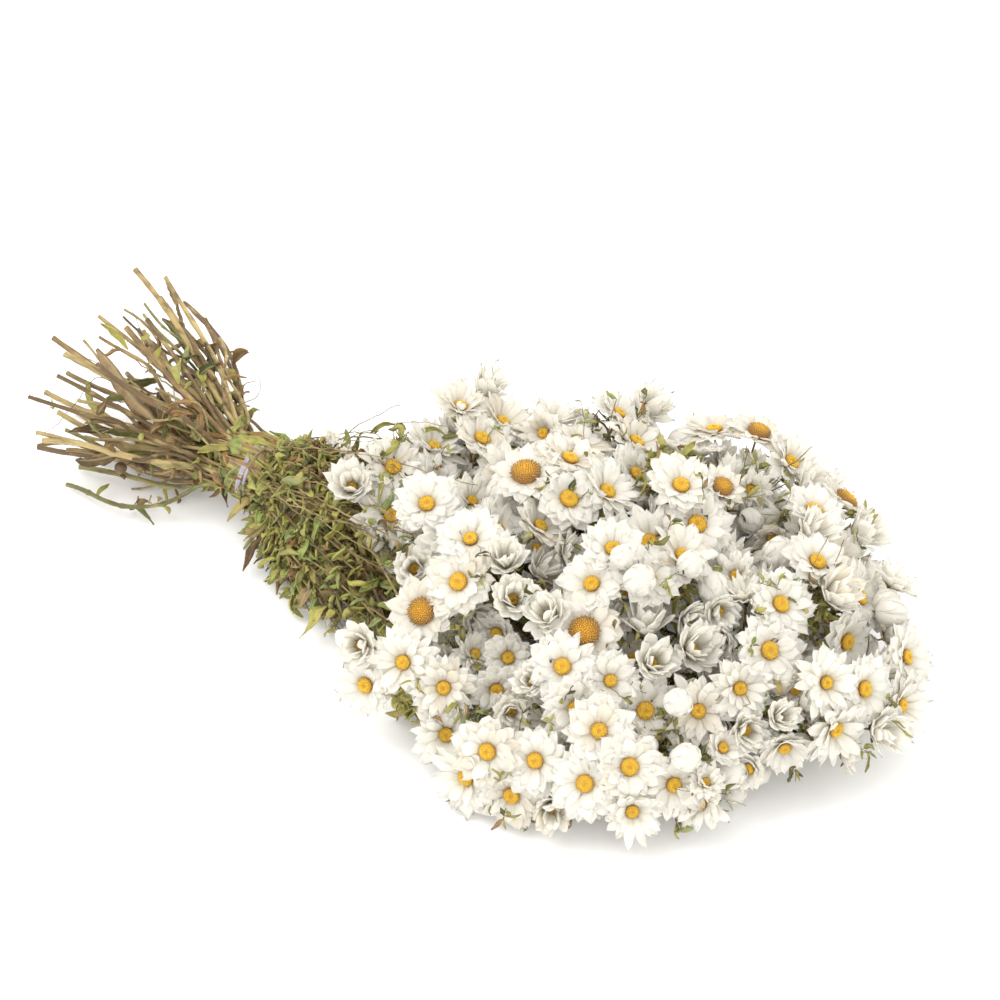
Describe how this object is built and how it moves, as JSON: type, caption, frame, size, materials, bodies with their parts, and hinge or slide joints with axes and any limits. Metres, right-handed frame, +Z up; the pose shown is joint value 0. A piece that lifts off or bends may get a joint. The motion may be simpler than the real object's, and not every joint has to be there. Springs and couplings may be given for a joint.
{
  "type": "bunch of dried daisies",
  "caption": "Bunch of dried white paper daisies with golden discs and leafy stems, held by an elastic band and lying on its side.",
  "frame": {"origin": "the middle of the bunch's box, on the surface it lies on", "axes": "+X along the bunch from the cut ends of the stems to the flowers, +Z up from the surface it lies on, +Y across"},
  "size_m": [0.5252, 0.285, 0.1035],
  "materials": {
    "stem": "matt, dried: straw-brown stems and olive leaves",
    "disc": "matt, granular golden discs on straw-coloured stalks",
    "petal": "papery, silky white",
    "band": "matt lilac-grey rubber"
  },
  "bodies": {
    "root": {"leafy_stem_01": "stem", "leafy_stem_02": "stem", "leafy_stem_03": "stem", "leafy_stem_04": "stem", "leafy_stem_05": "stem", "leafy_stem_06": "stem", "leafy_stem_07": "stem", "leafy_stem_08": "stem", "leafy_stem_09": "stem", "leafy_stem_10": "stem", "leafy_stem_11": "stem", "leafy_stem_12": "stem", "leafy_stem_13": "stem", "leafy_stem_14": "stem", "leafy_stem_15": "stem", "leafy_stem_16": "stem", "leafy_stem_17": "stem", "leafy_stem_18": "stem", "leafy_stem_19": "stem", "disc_stalks_01": "disc", "disc_stalks_02": "disc", "disc_stalks_03": "disc", "disc_stalks_04": "disc", "disc_stalks_05": "disc", "disc_stalks_06": "disc", "disc_stalks_07": "disc", "disc_stalks_08": "disc", "disc_stalks_09": "disc", "disc_stalks_10": "disc", "disc_stalks_11": "disc", "disc_stalks_12": "disc", "disc_stalks_13": "disc", "disc_stalks_14": "disc", "disc_stalks_15": "disc", "disc_stalks_16": "disc", "disc_stalks_17": "disc", "disc_stalks_18": "disc", "disc_stalks_19": "disc", "petals_01": "petal", "petals_02": "petal", "petals_03": "petal", "petals_04": "petal", "petals_05": "petal", "petals_06": "petal", "petals_07": "petal", "petals_08": "petal", "petals_09": "petal", "petals_10": "petal", "petals_11": "petal", "petals_12": "petal", "petals_13": "petal", "petals_14": "petal", "petals_15": "petal", "petals_16": "petal", "petals_17": "petal", "petals_18": "petal", "petals_19": "petal", "elastic_band": "band"}
  },
  "joints": []
}
